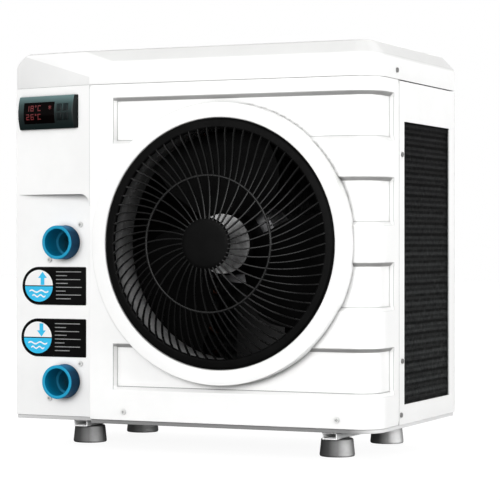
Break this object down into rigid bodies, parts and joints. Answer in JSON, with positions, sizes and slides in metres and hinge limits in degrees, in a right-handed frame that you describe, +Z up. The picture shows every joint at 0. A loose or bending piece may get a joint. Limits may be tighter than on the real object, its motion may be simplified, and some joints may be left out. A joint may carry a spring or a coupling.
{
  "type": "heat pump unit",
  "caption": "Small pool heat pump: white cabinet on rubber feet, domed front fan grille in a raised ring, side coil window, two blue water sockets and an angled controller.",
  "frame": {"origin": "on the floor, under the middle of the unit's bounding box", "axes": "+X to the unit's right as seen from its front, +Y to the rear, +Z up; the fan grille faces -Y"},
  "size_m": [0.4768, 0.334, 0.466],
  "materials": {
    "white_plastic": "satin white moulded plastic",
    "white_steel": "white powder coat on sheet steel",
    "tray_steel": "light grey powder coat",
    "galvanised": "galvanised sheet",
    "dark_steel": "matt black coat",
    "foot_rubber": "matt rubber",
    "zinc": "zinc plated",
    "black_plastic": "matt",
    "grille_black": "satin black",
    "fin_black": "black coated aluminium fins",
    "copper": "bare copper tube",
    "brass": "bare brass",
    "fan_grey": "matt",
    "motor_alloy": "cast alloy",
    "winding": "enamelled winding on laminations",
    "compressor_black": "black enamel",
    "shell_plastic": "dark grey pressure pipe",
    "titanium": "bare titanium",
    "socket_blue": "blue moulded plastic",
    "cream_plastic": "matt",
    "board_green": "solder mask",
    "bezel_teal": "dark petrol moulded plastic",
    "window_dark": "tinted acrylic",
    "button_dark": "satin",
    "label_black": "printed film",
    "cable_black": "rubber sheath"
  },
  "bodies": {
    "cabinet": {"base_tray": "tray_steel", "rail_left": "tray_steel", "rail_right": "tray_steel", "rubber_feet": "foot_rubber", "foot_bolts": "zinc", "foot_nuts": "zinc", "drain_nozzle": "black_plastic", "front_panel": "white_plastic", "front_panel_screws": "zinc", "fan_grille": "grille_black", "left_panel": "white_plastic", "right_panel": "white_steel", "right_panel_screws": "zinc", "rear_panel": "white_steel", "rear_panel_screws": "zinc", "lid": "white_plastic", "lid_screws": "zinc", "partition_plate": "dark_steel", "evaporator_fins": "fin_black", "evaporator_tubes": "copper", "coil_end_plates": "dark_steel", "motor_housing": "motor_alloy", "motor_end_cap": "motor_alloy", "motor_stator": "winding", "motor_bearings": "zinc", "motor_bracket": "dark_steel", "motor_bolts": "zinc", "compressor": "compressor_black", "compressor_grommets": "foot_rubber", "accumulator": "compressor_black", "reversing_valve": "brass", "refrigerant_pipes": "copper", "capillary_coil": "copper", "exchanger_shell": "shell_plastic", "titanium_coil": "titanium", "outlet_socket": "socket_blue", "inlet_socket": "socket_blue", "socket_gaskets": "foot_rubber", "socket_screws": "zinc", "flow_switch": "cream_plastic", "electrical_box": "cream_plastic", "electrical_box_lid": "cream_plastic", "control_board": "board_green", "fan_capacitor": "cream_plastic", "controller_bezel": "bezel_teal", "display_window": "window_dark", "display_board": "board_green", "outlet_label": "label_black", "inlet_label": "label_black", "cable_gland": "black_plastic", "power_cable": "cable_black"},
    "fan": {"axial_fan": "fan_grey", "fan_shaft": "zinc", "fan_nut": "zinc", "motor_rotor": "galvanised"},
    "power_key": {"button_power": "button_dark"},
    "mode_key": {"button_mode": "button_dark"},
    "up_key": {"button_up": "button_dark"},
    "down_key": {"button_down": "button_dark"},
    "paddle": {"flow_paddle": "cream_plastic"}
  },
  "joints": [
    {"name": "fan_spin", "type": "hinge", "parent": "cabinet", "child": "fan", "pos_m": [0.0485, -0.1, 0.2385], "axis": [0, 1, 0], "continuous": true},
    {"name": "power_press", "type": "slide", "parent": "cabinet", "child": "power_key", "axis": [0.2366, 0.9716, 0], "range_m": [0, 0.001], "stiffness_N_per_m": 600},
    {"name": "mode_press", "type": "slide", "parent": "cabinet", "child": "mode_key", "axis": [0.2366, 0.9716, 0], "range_m": [0, 0.001], "stiffness_N_per_m": 600},
    {"name": "up_press", "type": "slide", "parent": "cabinet", "child": "up_key", "axis": [0.2366, 0.9716, 0], "range_m": [0, 0.001], "stiffness_N_per_m": 600},
    {"name": "down_press", "type": "slide", "parent": "cabinet", "child": "down_key", "axis": [0.2366, 0.9716, 0], "range_m": [0, 0.001], "stiffness_N_per_m": 600},
    {"name": "paddle_swing", "type": "hinge", "parent": "cabinet", "child": "paddle", "pos_m": [-0.15545, -0.026, 0.0744], "axis": [0, 0, -1], "range_deg": [0, 22], "stiffness_Nm_per_rad": 0.01}
  ]
}
